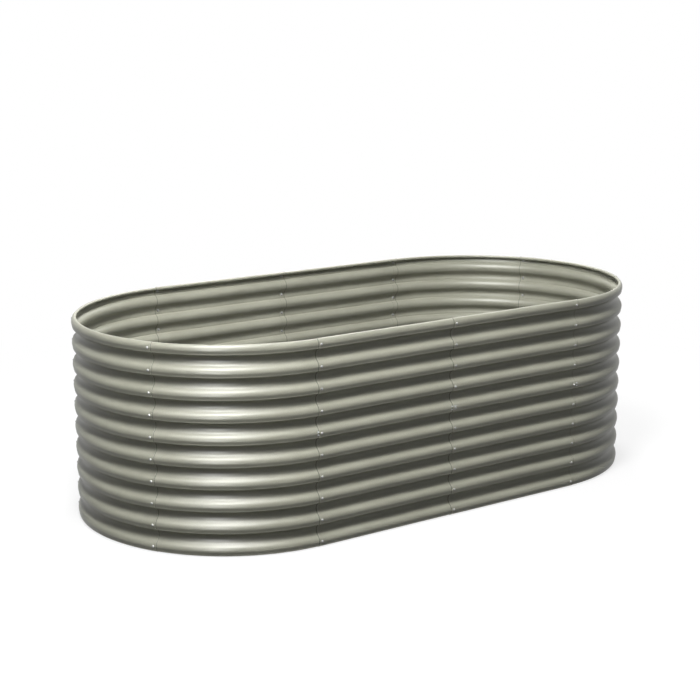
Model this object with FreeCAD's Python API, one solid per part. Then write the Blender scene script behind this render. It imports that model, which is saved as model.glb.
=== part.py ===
"""Raised garden bed: an oval wall of ribbed steel panels, bolted together at ten seams.

Frame: millimetres, +Z up, origin on the ground at the middle of the bed, +X along its length.
Every wall panel is the same rolled section, carried along a straight run or round a 60 degree bend.
"""
import FreeCAD, Part
import math
import os

os.makedirs("parts", exist_ok=True)

# Plan of the bed, to the outside of the ribs
BED_WIDTH = 1219.2               # 4 ft across
PANEL_RUN = 609.6                # 2 ft between the seams of a straight panel
SIDE_PANELS = 2                  # straight panels along each side
END_PANELS = 3                   # bent panels round each end
END_RADIUS = BED_WIDTH / 2
SIDE_LENGTH = SIDE_PANELS * PANEL_RUN
PANEL_BEND = 180.0 / END_PANELS

# Section of the rolled sheet
SHEET = 0.8                      # thickness
RIB_COUNT = 10
RIB_PITCH = 81.28                # height from one rib to the next
RIB_DEPTH = 21.6                 # from the crest of a rib in to the valley
RIB_FLAT = 17.0                  # height of the flat on each crest, where a bolt sits, and in each valley
FOOT = 23.2                      # from the ground up to the middle of the lowest rib
RIM_ROLL_RADIUS = 7.0            # the top edge is rolled inward into a safe round rim
RIM_ROLL_DEPTH = 12.6            # from the crest in to the middle of the roll
RIM_ROLL_LIFT = 12.6             # from the middle of the top rib up to the middle of the roll
RIM_ROLL_START = 132.0           # the roll runs from here, in degrees above the inward direction,
RIM_ROLL_END = -93.0             # over the top and down to here
RIM_ROLL_STEPS = 5

# The bends are made of flats, and every seam lies on the middle of one
BEND_FLAT = 10.0                 # degrees that one flat turns through

# Seams
LAP = 12.0                       # how far each panel runs past its bolts
SEAT_GAP = 0.04                  # paint and play between pieces that are clamped together
LAYER = SHEET + SEAT_GAP
BOLT_HEAD_WIDTH = 9.0            # across the flats
BOLT_HEAD_HEIGHT = 3.2
NUT_WIDTH = 8.0
NUT_HEIGHT = 4.0

# Flat straps across the bed, which stop the soil from pushing the long sides out
BRACE_RIB = 6                    # the rib, counted from the ground, whose bolts hold the straps
BRACE_THICKNESS = 2.0
BRACE_HEIGHT = 15.0
BRACE_TAB = 40.0                 # length of the bent end that lies against the wall
BRACE_BEND = 3.0                 # inner radius of the bend


def rib_height(index):
    """Height of the middle of a rib, counted from 0 at the ground."""
    return FOOT + index * RIB_PITCH


def wall_outline():
    """Outer line of the sheet from the ground up, as (depth inward, height) points."""
    half_flat = RIB_FLAT / 2
    slope = RIB_DEPTH / (RIB_PITCH / 2 - RIB_FLAT)
    line = [((FOOT - half_flat) * slope, 0.0)]
    for index in range(RIB_COUNT):
        middle = rib_height(index)
        line.append((0.0, middle - half_flat))
        line.append((0.0, middle + half_flat))
        if index < RIB_COUNT - 1:
            valley = middle + RIB_PITCH / 2
            line.append((RIB_DEPTH, valley - half_flat))
            line.append((RIB_DEPTH, valley + half_flat))
    roll_height = rib_height(RIB_COUNT - 1) + RIM_ROLL_LIFT
    for step in range(RIM_ROLL_STEPS + 1):
        turn = RIM_ROLL_START + (RIM_ROLL_END - RIM_ROLL_START) * step / RIM_ROLL_STEPS
        inward = RIM_ROLL_DEPTH + RIM_ROLL_RADIUS * math.cos(math.radians(turn))
        height = roll_height + RIM_ROLL_RADIUS * math.sin(math.radians(turn))
        line.append((inward, height))
    return line


def moved_in(line, distance):
    """The same line moved square to itself, into the bed, and still ending on the ground."""
    if distance == 0:
        return list(line)
    normals = []
    for (depth_a, height_a), (depth_b, height_b) in zip(line, line[1:]):
        length = math.hypot(depth_b - depth_a, height_b - height_a)
        normals.append(((height_b - height_a) / length, (depth_a - depth_b) / length))
    first = normals[0]
    moved = [(line[0][0] + distance / first[0], 0.0)]
    for point, before, after in zip(line[1:-1], normals, normals[1:]):
        share = distance / (1 + before[0] * after[0] + before[1] * after[1])
        moved.append((point[0] + share * (before[0] + after[0]), point[1] + share * (before[1] + after[1])))
    last = normals[-1]
    moved.append((line[-1][0] + distance * last[0], line[-1][1] + distance * last[1]))
    return moved


def section(base, outward, inset):
    """Closed outline of the sheet at one place along the wall.

    base is the point on the plan at the crest of the ribs, outward the step on the plan that
    goes with 1 mm of depth, and inset how far the sheet lies inside the outermost one.
    """
    outer = moved_in(wall_outline(), inset)
    inner = moved_in(wall_outline(), inset + SHEET)
    corners = []
    for depth, height in outer + inner[::-1]:
        x = base[0] - outward[0] * depth
        y = base[1] - outward[1] * depth
        corners.append(FreeCAD.Vector(x, y, height))
    return corners


def flat_face(corners):
    return Part.Face(Part.makePolygon(corners + corners[:1]))


def sheet_through(sections):
    """The folded sheet that joins a row of sections, with a flat face along every edge."""
    faces = [flat_face(sections[0]), flat_face(sections[-1])]
    for near, far in zip(sections, sections[1:]):
        for index in range(len(near)):
            faces.append(flat_face([near[index - 1], near[index], far[index], far[index - 1]]))
    return Part.Solid(Part.Shell(faces))


def bent_panel(inset):
    """A panel round 60 degrees, its middle pointing along +X from a centre at the origin."""
    flats = round(PANEL_BEND / BEND_FLAT)
    stretch = 1 / math.cos(math.radians(BEND_FLAT / 2))
    seam = math.radians(PANEL_BEND / 2)

    def lap_end(angle, beyond):
        outward = (math.cos(angle), math.sin(angle))
        base_x = END_RADIUS * outward[0] - beyond * outward[1]
        base_y = END_RADIUS * outward[1] + beyond * outward[0]
        return section((base_x, base_y), outward, inset)

    rows = [lap_end(-seam, -LAP)]
    for index in range(flats):
        angle = -seam + math.radians(BEND_FLAT) * (index + 0.5)
        outward = (stretch * math.cos(angle), stretch * math.sin(angle))
        rows.append(section((END_RADIUS * outward[0], END_RADIUS * outward[1]), outward, inset))
    rows.append(lap_end(seam, LAP))
    return sheet_through(rows)


def straight_panel(inset_start, inset_end):
    """A panel along +X from a seam at x = 0, its ribs towards -Y on the line y = 0."""
    outward = (0.0, -1.0)
    start = section((-LAP, 0.0), outward, inset_start)
    end = section((PANEL_RUN + LAP, 0.0), outward, inset_end)
    return sheet_through([start, end])


def hexagon_prism(width, height):
    """Six-sided block standing on z = 0."""
    corner_radius = width / 2 / math.cos(math.radians(30))
    corners = []
    for index in range(7):
        angle = math.radians(60 * index)
        corners.append(FreeCAD.Vector(corner_radius * math.cos(angle), corner_radius * math.sin(angle), 0))
    return Part.Face(Part.makePolygon(corners)).extrude(FreeCAD.Vector(0, 0, height))


def set_on_seam(shape, seam, depth, height):
    """Turn a shape that stands on z = 0 to face out of the wall at a seam, and seat it there."""
    x, y, direction = seam
    outward = FreeCAD.Vector(math.cos(math.radians(direction)), math.sin(math.radians(direction)), 0)
    turn = FreeCAD.Rotation(FreeCAD.Vector(0, 0, 1), outward)
    placed = shape.copy()
    placed.Placement = FreeCAD.Placement(FreeCAD.Vector(x, y, height) - outward * depth, turn)
    return placed


def seams():
    """Name, place on the crest line and outward direction in degrees of every bolted seam."""
    half_side = SIDE_LENGTH / 2
    found = {}
    for side, sign in (("front", -1), ("back", 1)):
        for place, x in (("left", -half_side), ("middle", 0.0), ("right", half_side)):
            found[side + "_" + place] = (x, sign * END_RADIUS, sign * 90.0)
        bend = sign * PANEL_BEND / 2
        for end, start, direction in (("left", -half_side, 180 - bend), ("right", half_side, bend)):
            x = start + END_RADIUS * math.cos(math.radians(direction))
            y = END_RADIUS * math.sin(math.radians(direction))
            found[end + "_end_" + side] = (x, y, direction)
    return found


def brace(x, facing):
    """Flat strap on edge between the long sides, its ends bent along the walls towards facing."""
    reach = END_RADIUS - 2 * LAYER
    outer_bend = BRACE_BEND + BRACE_THICKNESS
    side = BRACE_THICKNESS / 2
    tab_face = reach - BRACE_THICKNESS

    def line(x1, y1, x2, y2):
        return Part.LineSegment(FreeCAD.Vector(x1, y1, 0), FreeCAD.Vector(x2, y2, 0)).toShape()

    def bend(radius, y_sign):
        centre = FreeCAD.Vector(side + BRACE_BEND, y_sign * (tab_face - BRACE_BEND), 0)
        angles = (180, 135, 90) if y_sign > 0 else (-90, -135, -180)
        points = []
        for angle in angles:
            spoke = FreeCAD.Vector(math.cos(math.radians(angle)), math.sin(math.radians(angle)), 0)
            points.append(centre + spoke * radius)
        return Part.Arc(*points).toShape()

    tab_end = side + BRACE_TAB
    bend_x = side + BRACE_BEND
    bend_y = tab_face - BRACE_BEND
    edges = [
        line(side, -bend_y, side, bend_y),
        bend(BRACE_BEND, 1),
        line(bend_x, tab_face, tab_end, tab_face),
        line(tab_end, tab_face, tab_end, reach),
        line(tab_end, reach, bend_x, reach),
        bend(outer_bend, 1),
        line(-side, bend_y, -side, -bend_y),
        bend(outer_bend, -1),
        line(bend_x, -reach, tab_end, -reach),
        line(tab_end, -reach, tab_end, -tab_face),
        line(tab_end, -tab_face, bend_x, -tab_face),
        bend(BRACE_BEND, -1),
    ]
    outline = Part.Wire(Part.__sortEdges__(edges))
    strap = Part.Face(outline).extrude(FreeCAD.Vector(0, 0, BRACE_HEIGHT))
    middle_of_tab = (bend_x + tab_end) / 2
    strap.translate(FreeCAD.Vector(-middle_of_tab, 0, -BRACE_HEIGHT / 2))
    turn = FreeCAD.Rotation(FreeCAD.Vector(0, 0, 1), 0 if facing > 0 else 180)
    place = FreeCAD.Vector(x, 0, rib_height(BRACE_RIB - 1))
    strap.Placement = FreeCAD.Placement(place, turn).multiply(strap.Placement)
    return strap


def save(name, shape):
    shape.exportStep("parts/" + name + ".step")


def build_ends():
    """Three bent panels round each end: the end panel laps over the two corner panels."""
    for end, x, direction in (("left", -SIDE_LENGTH / 2, 180.0), ("right", SIDE_LENGTH / 2, 0.0)):
        outer = bent_panel(0.0)
        outer.Placement = FreeCAD.Placement(
            FreeCAD.Vector(x, 0, 0), FreeCAD.Rotation(FreeCAD.Vector(0, 0, 1), direction))
        save(end + "_end_panel", outer)
        for side, turn in (("front", -1), ("back", 1)):
            lean = turn if end == "right" else -turn
            corner = bent_panel(LAYER)
            corner.Placement = FreeCAD.Placement(
                FreeCAD.Vector(x, 0, 0),
                FreeCAD.Rotation(FreeCAD.Vector(0, 0, 1), direction + lean * PANEL_BEND))
            save(side + "_" + end + "_corner_panel", corner)


def build_sides():
    """Two straight panels along each side: at the middle seam one goes under the other."""
    half_side = SIDE_LENGTH / 2
    lean = LAYER / (PANEL_RUN - 2 * LAP)
    under = straight_panel(-2 * LAP * lean, LAYER + 2 * LAP * lean)
    over = straight_panel(0.0, 0.0)
    sides = (("front", "left", "right", 0.0), ("back", "right", "left", 180.0))
    for side, first, second, direction in sides:
        turn = FreeCAD.Rotation(FreeCAD.Vector(0, 0, 1), direction)
        for place, panel, start in ((first, under, -half_side), (second, over, -half_side + PANEL_RUN)):
            placed = panel.copy()
            placed.Placement = FreeCAD.Placement(turn.multVec(FreeCAD.Vector(start, -END_RADIUS, 0)), turn)
            save(side + "_" + place + "_side_panel", placed)


def build_fasteners():
    """Ten bolts and ten nuts for each seam, one pair on every rib."""
    head = hexagon_prism(BOLT_HEAD_WIDTH, BOLT_HEAD_HEIGHT)
    nut = hexagon_prism(NUT_WIDTH, NUT_HEIGHT)
    braced = [name for name in seams() if name.startswith(("front", "back"))]
    for name, seam in seams().items():
        heads = []
        nuts = []
        for index in range(RIB_COUNT):
            clamped = 2 * LAYER
            if name in braced and index == BRACE_RIB - 1:
                clamped += BRACE_THICKNESS + SEAT_GAP
            heads.append(set_on_seam(head, seam, -SEAT_GAP, rib_height(index)))
            nuts.append(set_on_seam(nut, seam, clamped + NUT_HEIGHT, rib_height(index)))
        save(name + "_bolts", Part.makeCompound(heads))
        save(name + "_nuts", Part.makeCompound(nuts))


def build_braces():
    half_side = SIDE_LENGTH / 2
    for place, x, facing in (("left", -half_side, -1), ("middle", 0.0, 1), ("right", half_side, 1)):
        save(place + "_cross_brace", brace(x, facing))


build_ends()
build_sides()
build_fasteners()
build_braces()
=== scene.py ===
"""Looks of the raised garden bed: ribbed panels, bolts, nuts, straps, finishes, light and camera.

Metres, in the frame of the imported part: +Z up, origin on the ground, +X along the bed.
"""
import bpy
import bmesh
import math
import random
from mathutils import Matrix, Vector, noise


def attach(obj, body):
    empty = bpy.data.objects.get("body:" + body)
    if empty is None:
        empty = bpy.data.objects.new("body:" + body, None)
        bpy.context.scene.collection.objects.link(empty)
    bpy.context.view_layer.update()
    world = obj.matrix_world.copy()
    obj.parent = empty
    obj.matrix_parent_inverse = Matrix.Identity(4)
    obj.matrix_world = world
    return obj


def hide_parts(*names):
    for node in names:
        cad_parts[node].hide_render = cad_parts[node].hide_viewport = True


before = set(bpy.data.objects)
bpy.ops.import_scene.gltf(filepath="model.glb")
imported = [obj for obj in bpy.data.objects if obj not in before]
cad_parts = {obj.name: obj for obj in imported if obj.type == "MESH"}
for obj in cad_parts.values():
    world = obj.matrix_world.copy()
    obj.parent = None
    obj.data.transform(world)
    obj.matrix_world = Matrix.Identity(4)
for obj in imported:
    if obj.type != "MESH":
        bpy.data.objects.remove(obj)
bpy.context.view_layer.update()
random.seed(7)

# Plan, as in the part
END_RADIUS = 0.6096              # to the outside of the ribs
PANEL_RUN = 0.6096
HALF_SIDE = PANEL_RUN
BEND_RUN = END_RADIUS * math.radians(60)
QUARTER = END_RADIUS * math.radians(90)
SIDE_RUN = 2 * PANEL_RUN
PERIMETER = 4 * QUARTER + 2 * SIDE_RUN

# Section of the rolled sheet
SHEET = 0.0008
LAYER = 0.00084                  # one sheet and the play beside it
RIB_COUNT = 10
RIB_PITCH = 0.08128
RIB_ARC = 0.024                  # radius of the crests and valleys
RIB_LEAN = math.asin(RIB_PITCH / 4 / RIB_ARC)
FOOT = 0.0232                    # from the ground to the lowest crest
# A fold runs under each rib. The sheet is steep below it, has a small lip above it, and is slack
# from there to the crest.
STEEP_LEAN = math.radians(70)
FOLD_LEAN = math.radians(-5)
SLOPE_LEAN = math.radians(15)
SOLE_RADIUS = 0.006
FOLD_RADIUS = 0.0022
LIP_RADIUS = 0.012
ROLL_RADIUS = 0.007              # the rolled rim
ROLL_START = math.radians(48)    # lean of the sheet where the roll begins
ROLL_END = math.radians(262)
ARC_STEPS = 8
ROLL_STEPS = 14

# Seams
LAP = 0.012
LIFT_HELD = 0.0005               # a loose edge springs this far off the sheet under it, at a bolt
LIFT_FREE = 0.0024               # and this far half way between two bolts
LIFT_RUN = 0.009                 # width of the loose strip along the edge
HEM = 0.0022                     # the last of a loose edge is rounded over, back towards the wall
HEM_DROP = 0.0011
PAINTED_SHADE_WIDTH = 0.0016             # painted shade: dark line on a lower sheet along a lap's edge, where the lapping sheet shades it
PAINTED_SHADE_START = 2 * LAP
BLEND = 0.0002                   # half the width of a sharp change between two columns
DENT = 0.0007                    # how far a bolt pulls the sheet in
DENT_SPREAD = 0.008

# Waviness that the rolling leaves in the sheet. The cut foot has none.
BUCKLE = 0.0006
BUCKLE_SIZE = 0.16
BUCKLE_SQUEEZE = 1.6             # how much shorter its waves are upward than along
BUCKLE_SHIFT = Vector((3.7, 1.3, 0))  # from one panel to the next
STILL_FOOT = 0.004               # it begins at this height
STILL_RUN = 0.03                 # and is full after this much more

# Columns of a panel's mesh near its cut ends, measured from the end
SEAM_COLUMNS = [
    0.0, 0.0007, 0.0014, HEM, 0.004, 0.006, LIFT_RUN, LAP, 0.015, 0.019,
    PAINTED_SHADE_START - 0.0012, PAINTED_SHADE_START - BLEND, PAINTED_SHADE_START + BLEND,
    PAINTED_SHADE_START + PAINTED_SHADE_WIDTH - BLEND, PAINTED_SHADE_START + PAINTED_SHADE_WIDTH + BLEND, 0.030, 0.038, 0.050]
BEND_STEP = math.radians(2.6)    # between the columns away from the ends
STRAIGHT_STEP = 0.06

# Fasteners
HEAD_RADIUS = 0.0047
HEAD_HEIGHT = 0.0030
SHANK_RADIUS = 0.0025
SHANK_REACH = 0.0032             # how far the bolt's end stands out of its nut
THREAD_TURNS = 5
THREAD_SHARE = 0.85              # of the reach, that has thread
THREAD_ROOT = 0.88               # of the shank's radius, in the thread's valleys
SHANK_TIP = 0.8                  # of the shank's radius, at its chamfered end
HEAD_STEPS = 7
HEAD_BRIM = 0.12                 # height of the head's brim, of the whole head
HEAD_SEAT = 0.96                 # radius of the face it sits on, of the head's
SEAT_DEPTH = 0.9                 # how deep a head sits in its dent, of the dent
NUT_WIDTH = 0.008
NUT_HEIGHT = 0.004
NUT_BASE = 0.0011                # the body begins inside the flange
NUT_CHAMFER = 0.0006
NUT_BORE = 1.02                  # radius of its hole, of the shank's
FLANGE_RADIUS = 0.0055
FLANGE_EDGE = 0.0006
FLANGE_HEIGHT = 0.0013
HEAD_SIDES = 20
FLANGE_SIDES = 24
SHANK_SIDES = 14
BRACE_RIB = 5                    # counted from 0 at the ground
BRACE_THICKNESS = 0.002
BRACE_PLAY = 0.00004


# ---------------------------------------------------------------- camera

CAMERA_AZIMUTH = math.radians(-35.122)
CAMERA_HEIGHT_ANGLE = math.radians(12.952)
CAMERA_DISTANCE = 6.2006
CAMERA_TARGET = Vector((-0.0600, 0.0, 0.5458))
SENSOR = 36.0
LENS = 78.49


def make_camera():
    """The photograph's view, fitted to the bolts in it."""
    back = Vector((
        math.cos(CAMERA_HEIGHT_ANGLE) * math.sin(CAMERA_AZIMUTH),
        -math.cos(CAMERA_HEIGHT_ANGLE) * math.cos(CAMERA_AZIMUTH),
        math.sin(CAMERA_HEIGHT_ANGLE)))
    data = bpy.data.cameras.new("camera")
    data.sensor_width = SENSOR
    data.lens = LENS
    camera = bpy.data.objects.new("camera", data)
    camera.location = CAMERA_TARGET + back * CAMERA_DISTANCE
    camera.rotation_mode = "QUATERNION"
    camera.rotation_quaternion = (-back).to_track_quat("-Z", "Y")
    bpy.context.scene.collection.objects.link(camera)
    bpy.context.scene.camera = camera


make_camera()


# ---------------------------------------------------------------- materials

def new_material(name):
    material = bpy.data.materials.new(name)
    material.use_nodes = True
    tree = material.node_tree
    return material, tree.nodes, tree.links, tree.nodes["Principled BSDF"]


def add_node(nodes, kind, **values):
    """New shader node, with its inputs or its settings given by name."""
    node = nodes.new(kind)
    for key, value in values.items():
        if key in node.inputs:
            node.inputs[key].default_value = value
        else:
            setattr(node, key, value)
    return node


def ramp(nodes, stops):
    node = nodes.new("ShaderNodeValToRGB")
    elements = node.color_ramp.elements
    while len(elements) < len(stops):
        elements.new(0.5)
    for element, (place, colour) in zip(elements, stops):
        element.position = place
        element.color = (*colour, 1.0)
    return node


def grey(value):
    return (value, value, value)


def painted_sheet():
    """Satin paint, grey with a little olive: fine flakes, faint cloudiness and orange peel, with
    painted shade along each lap's edge.
    """
    material, nodes, links, shader = new_material("satin_paint")
    place = add_node(nodes, "ShaderNodeTexCoord")
    cloud = add_node(nodes, "ShaderNodeTexNoise", Scale=5.0, Detail=4.0, Roughness=0.55)
    flake = add_node(nodes, "ShaderNodeTexNoise", Scale=900.0, Detail=2.0, Roughness=0.6)
    peel = add_node(nodes, "ShaderNodeTexNoise", Scale=260.0, Detail=2.0, Roughness=0.5)
    for texture in (cloud, flake, peel):
        links.new(place.outputs["Object"], texture.inputs["Vector"])
    tone = ramp(nodes, [(0.30, (0.270, 0.270, 0.215)), (0.70, (0.310, 0.310, 0.250))])
    links.new(cloud.outputs["Fac"], tone.inputs["Fac"])
    glint = ramp(nodes, [(0.42, grey(0.90)), (0.62, grey(1.0)), (0.72, grey(1.28))])
    links.new(flake.outputs["Fac"], glint.inputs["Fac"])
    mixed = add_node(nodes, "ShaderNodeMix", data_type="RGBA", blend_type="MULTIPLY")
    mixed.inputs[0].default_value = 1.0
    links.new(tone.outputs["Color"], mixed.inputs[6])
    links.new(glint.outputs["Color"], mixed.inputs[7])
    # Painted shade: the paint turns near black in a thin line on a lower sheet along each lap's
    # edge, where the lapping sheet shades it.
    painted_shade_amount = add_node(nodes, "ShaderNodeAttribute", attribute_name="painted_lap_shade")
    with_painted_shade = add_node(nodes, "ShaderNodeMix", data_type="RGBA", blend_type="MIX")
    links.new(painted_shade_amount.outputs["Fac"], with_painted_shade.inputs[0])
    links.new(mixed.outputs[2], with_painted_shade.inputs[6])
    with_painted_shade.inputs[7].default_value = (0.030, 0.030, 0.024, 1.0)
    links.new(with_painted_shade.outputs[2], shader.inputs["Base Color"])
    rough = ramp(nodes, [(0.35, grey(0.34)), (0.65, grey(0.40))])
    links.new(cloud.outputs["Fac"], rough.inputs["Fac"])
    links.new(rough.outputs["Color"], shader.inputs["Roughness"])
    bump = add_node(nodes, "ShaderNodeBump", Strength=0.05, Distance=0.0004)
    links.new(peel.outputs["Fac"], bump.inputs["Height"])
    links.new(bump.outputs["Normal"], shader.inputs["Normal"])
    shader.inputs["Metallic"].default_value = 0.0
    shader.inputs["Specular IOR Level"].default_value = 0.35
    shader.inputs["Specular Tint"].default_value = (1.0, 1.0, 1.0, 1.0)
    return material


def stainless():
    """Plain stainless steel of the bolts and nuts, with fine turning marks and slight tarnish."""
    material, nodes, links, shader = new_material("stainless")
    place = add_node(nodes, "ShaderNodeTexCoord")
    marks = add_node(nodes, "ShaderNodeTexNoise", Scale=1400.0, Detail=3.0, Roughness=0.6)
    tarnish = add_node(nodes, "ShaderNodeTexNoise", Scale=90.0, Detail=3.0, Roughness=0.5)
    for texture in (marks, tarnish):
        links.new(place.outputs["Object"], texture.inputs["Vector"])
    tone = ramp(nodes, [(0.3, (0.26, 0.26, 0.255)), (0.7, (0.38, 0.38, 0.375))])
    links.new(tarnish.outputs["Fac"], tone.inputs["Fac"])
    links.new(tone.outputs["Color"], shader.inputs["Base Color"])
    rough = ramp(nodes, [(0.3, grey(0.38)), (0.7, grey(0.50))])
    links.new(marks.outputs["Fac"], rough.inputs["Fac"])
    links.new(rough.outputs["Color"], shader.inputs["Roughness"])
    bump = add_node(nodes, "ShaderNodeBump", Strength=0.12, Distance=0.0001)
    links.new(marks.outputs["Fac"], bump.inputs["Height"])
    links.new(bump.outputs["Normal"], shader.inputs["Normal"])
    shader.inputs["Metallic"].default_value = 0.9
    return material


def galvanised():
    """Zinc coated strap steel: patches of crystal, each a little lighter or darker."""
    material, nodes, links, shader = new_material("galvanised")
    place = add_node(nodes, "ShaderNodeTexCoord")
    crystal = add_node(nodes, "ShaderNodeTexVoronoi", Scale=110.0, Randomness=1.0)
    grain = add_node(nodes, "ShaderNodeTexNoise", Scale=600.0, Detail=3.0, Roughness=0.6)
    for texture in (crystal, grain):
        links.new(place.outputs["Object"], texture.inputs["Vector"])
    parts = add_node(nodes, "ShaderNodeSeparateColor")
    links.new(crystal.outputs["Color"], parts.inputs["Color"])
    tone = ramp(nodes, [(0.0, (0.42, 0.43, 0.44)), (1.0, (0.60, 0.61, 0.62))])
    links.new(parts.outputs["Red"], tone.inputs["Fac"])
    links.new(tone.outputs["Color"], shader.inputs["Base Color"])
    rough = ramp(nodes, [(0.0, grey(0.38)), (1.0, grey(0.56))])
    links.new(parts.outputs["Green"], rough.inputs["Fac"])
    links.new(rough.outputs["Color"], shader.inputs["Roughness"])
    bump = add_node(nodes, "ShaderNodeBump", Strength=0.10, Distance=0.0002)
    links.new(grain.outputs["Fac"], bump.inputs["Height"])
    links.new(bump.outputs["Normal"], shader.inputs["Normal"])
    shader.inputs["Metallic"].default_value = 0.85
    return material


PAINT = painted_sheet()
STAINLESS = stainless()
GALVANISED = galvanised()


# ---------------------------------------------------------------- the wall

def rib_underside():
    """From a valley up to a crest: steep, then a fold with a small lip, then a slack slope.

    Each step is (lean at its start, lean at its end, radius, number of steps), and a straight step
    gives its length in place of the radius. The straight lengths make the whole as high and as deep
    as a quarter of a wave.
    """
    sole = (-RIB_LEAN, -STEEP_LEAN, SOLE_RADIUS, 1)
    fold = (-STEEP_LEAN, -FOLD_LEAN, FOLD_RADIUS, 4)
    lip = (-FOLD_LEAN, -SLOPE_LEAN, LIP_RADIUS, 2)
    brow = (-SLOPE_LEAN, 0.0, RIB_ARC, 3)
    rise = RIB_PITCH / 4
    reach = RIB_ARC * (1 - math.cos(RIB_LEAN))
    for start, end, radius, steps in (sole, fold, lip, brow):
        bend = radius if end > start else -radius
        rise -= bend * (math.sin(end) - math.sin(start))
        reach -= bend * (math.cos(end) - math.cos(start))
    across = math.sin(STEEP_LEAN - SLOPE_LEAN)
    steep = (reach * math.cos(SLOPE_LEAN) - rise * math.sin(SLOPE_LEAN)) / across
    slack = (rise * math.sin(STEEP_LEAN) - reach * math.cos(STEEP_LEAN)) / across
    return [
        sole, (-STEEP_LEAN, -STEEP_LEAN, steep, 2), fold, lip,
        (-SLOPE_LEAN, -SLOPE_LEAN, slack, 2), brow]


def sheet_line():
    """The sheet's outer line from the ground up: points (depth inward, height) and the lean there.

    The line is half a valley's foot, then ribs and valleys, then the rolled rim.
    """
    foot_lean = -math.asin((RIB_PITCH / 2 - FOOT) / RIB_ARC)
    turns = [(foot_lean, -RIB_LEAN, RIB_ARC, 1)]
    for index in range(RIB_COUNT - 1):
        turns += rib_underside()
        turns.append((0.0, RIB_LEAN, RIB_ARC, ARC_STEPS // 2))
        turns.append((RIB_LEAN, -RIB_LEAN, RIB_ARC, ARC_STEPS))
    turns += rib_underside()
    turns.append((0.0, ROLL_START, RIB_ARC, ARC_STEPS // 2))
    turns.append((ROLL_START, ROLL_END, ROLL_RADIUS, ROLL_STEPS))
    valley_depth = 2 * RIB_ARC * (1 - math.cos(RIB_LEAN))
    depth = valley_depth - RIB_ARC * (1 - math.cos(foot_lean))
    height = 0.0
    line = [(depth, height, foot_lean)]
    for start, end, radius, steps in turns:
        bend = radius if end > start else -radius
        for step in range(1, steps + 1):
            lean = start + (end - start) * step / steps
            before = start + (end - start) * (step - 1) / steps
            if start == end:
                depth += radius * math.sin(start) / steps
                height += radius * math.cos(start) / steps
            else:
                depth += bend * (math.cos(before) - math.cos(lean))
                height += bend * (math.sin(lean) - math.sin(before))
            line.append((depth, height, lean))
    return line


LINE = sheet_line()
CRESTS = [FOOT + index * RIB_PITCH for index in range(RIB_COUNT)]


def wall_place(run):
    """Point on the crest line and outward direction on the plan.

    run is counted from the middle of the left end, round by the front.
    """
    run = run % PERIMETER
    if run < QUARTER:
        angle = math.pi + run / END_RADIUS
        centre = -HALF_SIDE
    elif run < QUARTER + SIDE_RUN:
        return Vector((-HALF_SIDE + run - QUARTER, -END_RADIUS, 0)), Vector((0, -1, 0))
    elif run < 3 * QUARTER + SIDE_RUN:
        angle = -math.pi / 2 + (run - QUARTER - SIDE_RUN) / END_RADIUS
        centre = HALF_SIDE
    elif run < 3 * QUARTER + 2 * SIDE_RUN:
        along = run - 3 * QUARTER - SIDE_RUN
        return Vector((HALF_SIDE - along, END_RADIUS, 0)), Vector((0, 1, 0))
    else:
        angle = math.pi / 2 + (run - 3 * QUARTER - 2 * SIDE_RUN) / END_RADIUS
        centre = -HALF_SIDE
    outward = Vector((math.cos(angle), math.sin(angle), 0))
    return Vector((centre, 0, 0)) + outward * END_RADIUS, outward


def smooth(value):
    """0 below 0, 1 above 1, and an even rise between."""
    value = min(max(value, 0.0), 1.0)
    return value * value * (3 - 2 * value)


def columns(start, end):
    """Places along a panel where the mesh has a column, close together beside the seams."""
    low = [start - LAP + step for step in SEAM_COLUMNS]
    high = [end + LAP - step for step in reversed(SEAM_COLUMNS)]
    straight = end - start < (PANEL_RUN + BEND_RUN) / 2
    step = STRAIGHT_STEP if straight else BEND_STEP * END_RADIUS
    inner = high[0] - low[-1]
    count = max(2, round(inner / step))
    return low + [low[-1] + inner * index / count for index in range(1, count)] + high


def sheet_inset(run, start, end, inset_start, inset_end):
    """How far inside the outermost sheet this panel lies at a place along it."""
    share = (run - start) / (end - start)
    return inset_start + (inset_end - inset_start) * smooth(share)


def looseness(run, start, end, inset_start, inset_end):
    """How free and how far rounded over the sheet is at a place near its loose edges, 0 to 1."""
    free = 0.0
    rounded = 0.0
    for from_end, level in ((run - start + LAP, inset_start), (end + LAP - run, inset_end)):
        if level == 0.0:
            free = max(free, 1 - from_end / LIFT_RUN)
            rounded = max(rounded, 1 - from_end / HEM)
    return free * free, rounded * rounded


def lift(free, rounded, height):
    """How far a loose edge stands off at a height: least beside the bolts on the crests."""
    from_crest = min(abs(crest - height) for crest in CRESTS)
    away = smooth(from_crest / (RIB_PITCH / 2))
    return free * (LIFT_HELD + (LIFT_FREE - LIFT_HELD) * away) - rounded * HEM_DROP


def painted_lap_shade(run, start, end, inset_start, inset_end):
    """1 in the painted shade line on a lower sheet along the edge of the sheet that lies on it,
    else 0.
    """
    for from_end, level in ((run - start + LAP, inset_start), (end + LAP - run, inset_end)):
        if level > 0.0 and PAINTED_SHADE_START <= from_end <= PAINTED_SHADE_START + PAINTED_SHADE_WIDTH:
            return 1.0
    return 0.0


def dent(run, height, seams):
    """How far the bolts pull the sheet in near a seam."""
    total = 0.0
    for seam in seams:
        across = run - seam
        if abs(across) > 3 * DENT_SPREAD:
            continue
        nearest = min(CRESTS, key=lambda crest: abs(crest - height))
        spread = (across * across + (height - nearest) ** 2) / (2 * DENT_SPREAD ** 2)
        total += DENT * math.exp(-spread)
    return total


def buckle(place, seed):
    """Waviness of the sheet at a place, different on each panel."""
    spot = Vector((place.x, place.y, place.z * BUCKLE_SQUEEZE)) / BUCKLE_SIZE
    return BUCKLE * noise.noise(spot + BUCKLE_SHIFT * seed)


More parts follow.
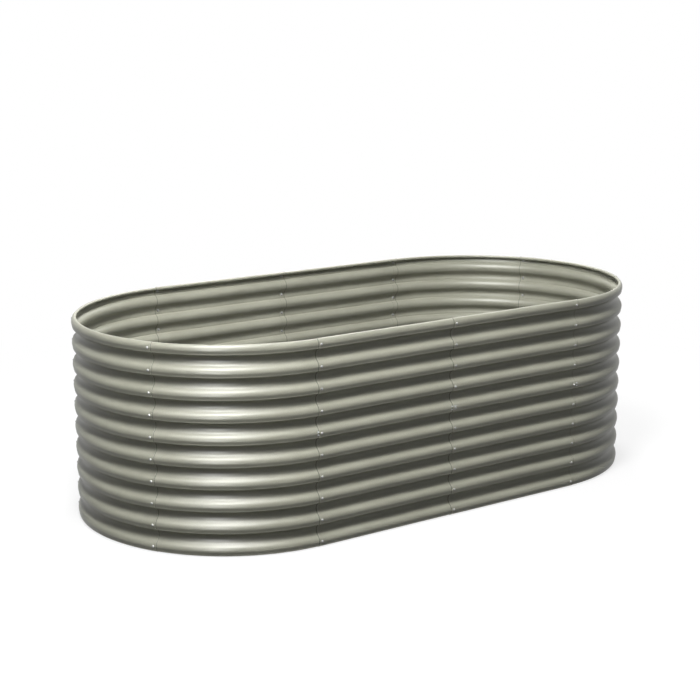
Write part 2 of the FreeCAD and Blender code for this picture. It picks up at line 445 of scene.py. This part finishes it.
def make_panel(name, start, end, inset_start, inset_end, seed):
    """One rolled panel as a closed sheet with its two faces and its cut edges."""
    mesh = bpy.data.meshes.new(name)
    shape = bmesh.new()
    painted_lap_shade_layer = shape.verts.layers.float.new("painted_lap_shade")
    outer = []
    inner = []
    for run in columns(start, end):
        base, outward = wall_place(run)
        inset = sheet_inset(run, start, end, inset_start, inset_end)
        free, rounded = looseness(run, start, end, inset_start, inset_end)
        # 1 where the painted shade line along a lap's edge darkens the paint, else 0.
        dark = painted_lap_shade(run, start, end, inset_start, inset_end)
        outer_row = []
        inner_row = []
        for depth, height, lean in LINE:
            slope_in = math.cos(lean)
            slope_down = -math.sin(lean)
            middle = base - outward * depth + Vector((0, 0, height))
            upright = smooth((height - STILL_FOOT) / STILL_RUN)
            shift = inset + dent(run, height, (start, end)) + upright * buckle(middle, seed)
            shift -= lift(free, rounded, height)
            for row, move in ((outer_row, shift), (inner_row, shift + SHEET)):
                place = middle - outward * (move * slope_in) + Vector((0, 0, move * slope_down))
                place.z = max(place.z, 0.0)
                corner = shape.verts.new(place)
                corner[painted_lap_shade_layer] = dark
                row.append(corner)
        outer.append(outer_row)
        inner.append(inner_row)
    sharp = []
    top = len(LINE) - 1
    last = len(outer) - 1

    def face(*corners):
        shape.faces.new(corners).smooth = True

    for column in range(last):
        for row in range(top):
            a, b = outer[column], outer[column + 1]
            face(a[row], b[row], b[row + 1], a[row + 1])
            a, b = inner[column], inner[column + 1]
            face(a[row + 1], b[row + 1], b[row], a[row])
        face(inner[column][0], inner[column + 1][0], outer[column + 1][0], outer[column][0])
        face(outer[column][top], outer[column + 1][top],
             inner[column + 1][top], inner[column][top])
        for row in (0, top):
            sharp += [(side[column][row], side[column + 1][row]) for side in (outer, inner)]
    for row in range(top):
        face(outer[0][row + 1], inner[0][row + 1], inner[0][row], outer[0][row])
        face(outer[last][row], inner[last][row], inner[last][row + 1], outer[last][row + 1])
        for column in (0, last):
            sharp += [(side[column][row], side[column][row + 1]) for side in (outer, inner)]
    for ends in sharp:
        shape.edges.get(ends).smooth = False
    shape.to_mesh(mesh)
    shape.free()
    mesh.materials.append(PAINT)
    piece = bpy.data.objects.new("painted_" + name, mesh)
    bpy.context.scene.collection.objects.link(piece)
    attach(piece, "root")
    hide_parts(name)


# name, length along the wall, and how deep its start and its end lie in their laps
PANELS = [
    ("left_end_panel", BEND_RUN, 0.0, 0.0),
    ("front_left_corner_panel", BEND_RUN, LAYER, LAYER),
    ("front_left_side_panel", PANEL_RUN, 0.0, LAYER),
    ("front_right_side_panel", PANEL_RUN, 0.0, 0.0),
    ("front_right_corner_panel", BEND_RUN, LAYER, LAYER),
    ("right_end_panel", BEND_RUN, 0.0, 0.0),
    ("back_right_corner_panel", BEND_RUN, LAYER, LAYER),
    ("back_right_side_panel", PANEL_RUN, 0.0, LAYER),
    ("back_left_side_panel", PANEL_RUN, 0.0, 0.0),
    ("back_left_corner_panel", BEND_RUN, LAYER, LAYER),
]
SEAMS = [
    "left_end_front", "front_left", "front_middle", "front_right", "right_end_front",
    "right_end_back", "back_right", "back_middle", "back_left", "left_end_back",
]


def make_wall():
    """All ten panels in a row round the oval. Returns where each seam lies along the wall."""
    seam_runs = {}
    start = -BEND_RUN / 2
    for index, (name, length, inset_start, inset_end) in enumerate(PANELS):
        make_panel(name, start, start + length, inset_start, inset_end, index)
        start += length
        seam_runs[SEAMS[index]] = start
    return seam_runs


seam_runs = make_wall()


# ---------------------------------------------------------------- fasteners

def turned(shape, profile, sides, place):
    """Add a turned form: profile is (radius, height) from its bottom middle to its top middle."""
    rings = []
    for radius, height in profile:
        if radius == 0.0:
            rings.append([shape.verts.new(place @ Vector((0, 0, height)))])
            continue
        ring = []
        for index in range(sides):
            angle = 2 * math.pi * index / sides
            corner = Vector((radius * math.cos(angle), radius * math.sin(angle), height))
            ring.append(shape.verts.new(place @ corner))
        rings.append(ring)
    for below, above in zip(rings, rings[1:]):
        for index in range(sides):
            following = (index + 1) % sides
            if len(below) == 1:
                corners = (below[0], above[following], above[index])
            elif len(above) == 1:
                corners = (below[index], below[following], above[0])
            else:
                corners = (below[index], below[following], above[following], above[index])
            shape.faces.new(corners).smooth = True


def out_of_wall(run, depth, height):
    """Frame at a place on the wall whose Z points out of the bed."""
    base, outward = wall_place(run)
    turn = outward.to_track_quat("Z", "Y").to_matrix().to_4x4()
    spin = Matrix.Rotation(random.uniform(0, 2 * math.pi), 4, "Z")
    return Matrix.Translation(base - outward * depth + Vector((0, 0, height))) @ turn @ spin


def bolt_head_profile():
    """Low domed head with a small round edge where it meets the sheet."""
    profile = [(0.0, 0.0), (HEAD_RADIUS * HEAD_SEAT, 0.0), (HEAD_RADIUS, HEAD_HEIGHT * HEAD_BRIM)]
    for step in range(1, HEAD_STEPS):
        angle = math.pi / 2 * step / HEAD_STEPS
        height = HEAD_HEIGHT * (HEAD_BRIM + (1 - HEAD_BRIM) * math.sin(angle))
        profile.append((HEAD_RADIUS * math.cos(angle), height))
    profile.append((0.0, HEAD_HEIGHT))
    return profile


def hexagon(shape, place, width, low, high, chamfer):
    """Six-sided nut body with its outer corners turned off."""
    corner = width / 2 / math.cos(math.radians(30))
    flat = width / 2
    bore = SHANK_RADIUS * NUT_BORE
    levels = [(corner, low), (corner, high - chamfer), (flat, high), (bore, high)]
    rings = []
    for radius, height in levels:
        ring = []
        for index in range(6):
            angle = math.radians(60 * index)
            point = Vector((radius * math.cos(angle), radius * math.sin(angle), height))
            ring.append(shape.verts.new(place @ point))
        rings.append(ring)
    shape.faces.new(list(reversed(rings[0])))
    for below, above in zip(rings, rings[1:]):
        for index in range(6):
            following = (index + 1) % 6
            shape.faces.new((below[index], below[following], above[following], above[index]))
    shape.faces.new(rings[-1])


def finish_piece(shape, name, node, material):
    """Make a piece that stands in for one of the part's nodes."""
    bmesh.ops.recalc_face_normals(shape, faces=shape.faces)
    mesh = bpy.data.meshes.new(name)
    shape.to_mesh(mesh)
    shape.free()
    mesh.materials.append(material)
    piece = bpy.data.objects.new(name, mesh)
    bpy.context.scene.collection.objects.link(piece)
    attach(piece, "root")
    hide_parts(node)


def make_bolts(seam, run):
    """Ten domed heads on the outside of a seam, each seated in the dent it makes."""
    shape = bmesh.new()
    for crest in CRESTS:
        turned(shape, bolt_head_profile(), HEAD_SIDES, out_of_wall(run, DENT * SEAT_DEPTH, crest))
    finish_piece(shape, "domed_" + seam + "_bolts", seam + "_bolts", STAINLESS)


def shank_profile():
    """End of a bolt above its nut, with the thread's turns."""
    profile = [(0.0, NUT_HEIGHT * 0.5), (SHANK_RADIUS, NUT_HEIGHT * 0.5)]
    pitch = SHANK_REACH * THREAD_SHARE / THREAD_TURNS
    for step in range(THREAD_TURNS):
        low = NUT_HEIGHT + SHANK_REACH * THREAD_SHARE * step / THREAD_TURNS
        profile.append((SHANK_RADIUS * THREAD_ROOT, low + pitch * 0.25))
        profile.append((SHANK_RADIUS, low + pitch * 0.75))
    tip = NUT_HEIGHT + SHANK_REACH
    return profile + [(SHANK_RADIUS * SHANK_TIP, tip), (0.0, tip)]


def make_nuts(seam, run):
    """Ten flanged nuts inside a seam, with the bolt's end standing out of each."""
    shape = bmesh.new()
    half_turn = Matrix.Rotation(math.pi, 4, "X")
    flange = [
        (0.0, 0.0), (FLANGE_RADIUS, 0.0), (FLANGE_RADIUS, FLANGE_EDGE),
        (NUT_WIDTH * 0.5, FLANGE_HEIGHT), (0.0, FLANGE_HEIGHT)]
    for index, crest in enumerate(CRESTS):
        clamped = 2 * LAYER + DENT
        if index == BRACE_RIB and seam.startswith(("front", "back")):
            clamped = 2 * LAYER + BRACE_THICKNESS + BRACE_PLAY
        place = out_of_wall(run, clamped, crest) @ half_turn
        turned(shape, flange, FLANGE_SIDES, place)
        hexagon(shape, place, NUT_WIDTH, NUT_BASE, NUT_HEIGHT, NUT_CHAMFER)
        turned(shape, shank_profile(), SHANK_SIDES, place)
    finish_piece(shape, "flanged_" + seam + "_nuts", seam + "_nuts", STAINLESS)


for seam_name, seam_run in seam_runs.items():
    make_bolts(seam_name, seam_run)
    make_nuts(seam_name, seam_run)


# ---------------------------------------------------------------- straps

def finish_straps():
    """Give the part's own straps their zinc."""
    for place_name in ("left", "middle", "right"):
        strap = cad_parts[place_name + "_cross_brace"]
        strap.data.materials.clear()
        strap.data.materials.append(GALVANISED)


finish_straps()


# ---------------------------------------------------------------- stage and light

FLOOR_RADIUS = 30.0
FLOOR_SIDES = 96
FLOOR_DROP = 0.0005              # below the bed's foot
FLOOR_GLOW = 0.75                # share of plain white in the floor beside the bed
FLOOR_FADE_START = 1.2           # where the floor begins to turn to plain white
FLOOR_FADE_END = 3.2
FLOOR_PALE = (0.80, 0.80, 0.80, 1.0)
FLOOR_DIM = (0.03, 0.03, 0.029, 1.0)
AMBIENT = 0.03                   # light from the room
LIGHT_DISTANCE = 4.5
LIT_MIDDLE = Vector((0, 0, 0.4))
SOFT_EDGE = 0.30                 # share of a light's face, on each side, over which it fades


def white_where_seen(nodes, links):
    """1 where the camera, a reflection or a clear material looks at it, 0 where it only lights."""
    path = add_node(nodes, "ShaderNodeLightPath")
    seen = add_node(nodes, "ShaderNodeMath", operation="MAXIMUM")
    links.new(path.outputs["Is Camera Ray"], seen.inputs[0])
    links.new(path.outputs["Is Glossy Ray"], seen.inputs[1])
    seen_through = add_node(nodes, "ShaderNodeMath", operation="MAXIMUM")
    links.new(seen.outputs[0], seen_through.inputs[0])
    links.new(path.outputs["Is Transmission Ray"], seen_through.inputs[1])
    return seen_through.outputs[0]


def make_floor():
    """Pale floor: white to the camera and in reflections, and it keeps the bed's shadow.

    It throws next to no light up on the bed.
    """
    mesh = bpy.data.meshes.new("floor")
    shape = bmesh.new()
    bmesh.ops.create_circle(shape, cap_ends=True, segments=FLOOR_SIDES, radius=FLOOR_RADIUS)
    shape.to_mesh(mesh)
    shape.free()
    floor = bpy.data.objects.new("floor", mesh)
    floor.location.z = -FLOOR_DROP
    bpy.context.scene.collection.objects.link(floor)
    material, nodes, links, shader = new_material("pale_floor")
    nodes.remove(shader)
    output = nodes["Material Output"]
    seen = white_where_seen(nodes, links)
    pale = add_node(nodes, "ShaderNodeBsdfDiffuse", Color=FLOOR_PALE)
    dim = add_node(nodes, "ShaderNodeBsdfDiffuse", Color=FLOOR_DIM)
    glow = add_node(nodes, "ShaderNodeEmission", Color=(1.0, 1.0, 1.0, 1.0), Strength=1.0)
    place = add_node(nodes, "ShaderNodeTexCoord")
    length = add_node(nodes, "ShaderNodeVectorMath", operation="LENGTH")
    links.new(place.outputs["Object"], length.inputs[0])
    fade = add_node(nodes, "ShaderNodeMapRange", interpolation_type="SMOOTHSTEP")
    fade.inputs["From Min"].default_value = FLOOR_FADE_START
    fade.inputs["From Max"].default_value = FLOOR_FADE_END
    fade.inputs["To Min"].default_value = FLOOR_GLOW
    fade.inputs["To Max"].default_value = 1.0
    links.new(length.outputs["Value"], fade.inputs["Value"])
    pale_mix = add_node(nodes, "ShaderNodeMixShader")
    links.new(fade.outputs["Result"], pale_mix.inputs["Fac"])
    links.new(pale.outputs[0], pale_mix.inputs[1])
    links.new(glow.outputs[0], pale_mix.inputs[2])
    mix = add_node(nodes, "ShaderNodeMixShader")
    links.new(seen, mix.inputs["Fac"])
    links.new(dim.outputs[0], mix.inputs[1])
    links.new(pale_mix.outputs[0], mix.inputs[2])
    links.new(mix.outputs[0], output.inputs["Surface"])
    mesh.materials.append(material)


def make_world():
    """White room to look at, and a little light from it."""
    world = bpy.data.worlds.new("studio")
    world.use_nodes = True
    nodes, links = world.node_tree.nodes, world.node_tree.links
    background = nodes["Background"]
    background.inputs["Color"].default_value = (1.0, 1.0, 1.0, 1.0)
    strength = add_node(nodes, "ShaderNodeMapRange")
    strength.inputs["To Min"].default_value = AMBIENT
    strength.inputs["To Max"].default_value = 1.0
    links.new(white_where_seen(nodes, links), strength.inputs["Value"])
    links.new(strength.outputs["Result"], background.inputs["Strength"])
    bpy.context.scene.world = world


def soft_edge(nodes, links, place, axis):
    """1 over the middle of a light's face, falling to 0 over its edge on one axis."""
    from_middle = add_node(nodes, "ShaderNodeMath", operation="SUBTRACT")
    links.new(place.outputs[axis], from_middle.inputs[0])
    from_middle.inputs[1].default_value = 0.5
    away = add_node(nodes, "ShaderNodeMath", operation="ABSOLUTE")
    links.new(from_middle.outputs[0], away.inputs[0])
    fade = add_node(nodes, "ShaderNodeMapRange", interpolation_type="SMOOTHSTEP")
    fade.inputs["From Min"].default_value = 0.5 - SOFT_EDGE
    fade.inputs["From Max"].default_value = 0.5
    fade.inputs["To Min"].default_value = 1.0
    fade.inputs["To Max"].default_value = 0.0
    links.new(away.outputs[0], fade.inputs["Value"])
    return fade.outputs["Result"]


def softbox(name, azimuth, elevation, size, brightness, sheen_only=False):
    """Soft light facing the bed, placed by its direction from the bed's middle, dim at its edges.

    One that is only for the sheen shows in the paint's gloss and leaves its colour as it is.
    """
    azimuth = math.radians(azimuth)
    elevation = math.radians(elevation)
    toward = Vector((
        math.cos(elevation) * math.sin(azimuth),
        -math.cos(elevation) * math.cos(azimuth),
        math.sin(elevation)))
    data = bpy.data.lights.new(name, "AREA")
    data.shape = "RECTANGLE"
    data.size, data.size_y = size
    # The soft edges dim part of the face, and the energy makes up for it.
    data.energy = brightness * math.pi * size[0] * size[1] / (1 - SOFT_EDGE) ** 2
    data.use_nodes = True
    nodes, links = data.node_tree.nodes, data.node_tree.links
    face = add_node(nodes, "ShaderNodeNewGeometry")
    place = add_node(nodes, "ShaderNodeSeparateXYZ")
    links.new(face.outputs["Parametric"], place.inputs[0])
    both = add_node(nodes, "ShaderNodeMath", operation="MULTIPLY")
    for slot, axis in enumerate(("X", "Y")):
        links.new(soft_edge(nodes, links, place, axis), both.inputs[slot])
    links.new(both.outputs[0], nodes["Emission"].inputs["Strength"])
    light = bpy.data.objects.new(name, data)
    light.location = LIT_MIDDLE + toward * LIGHT_DISTANCE
    light.rotation_mode = "QUATERNION"
    light.rotation_quaternion = (-toward).to_track_quat("-Z", "Y")
    light.visible_diffuse = not sheen_only
    bpy.context.scene.collection.objects.link(light)


make_floor()
make_world()
softbox("key", -49, 56, (1.7, 3.2), 17.5)
softbox("side", -14, 62, (1.7, 1.5), 5.5)
softbox("back", 145, 50, (2.6, 2.2), 9.0)
softbox("end", 112, 40, (2.0, 1.8), 3.0)
softbox("strip", -49, 6, (1.2, 2.8), 15.0, sheen_only=True)
softbox("wide", -53, 44, (3.6, 3.0), 7.5, sheen_only=True)

bpy.context.scene.view_settings.view_transform = "Standard"
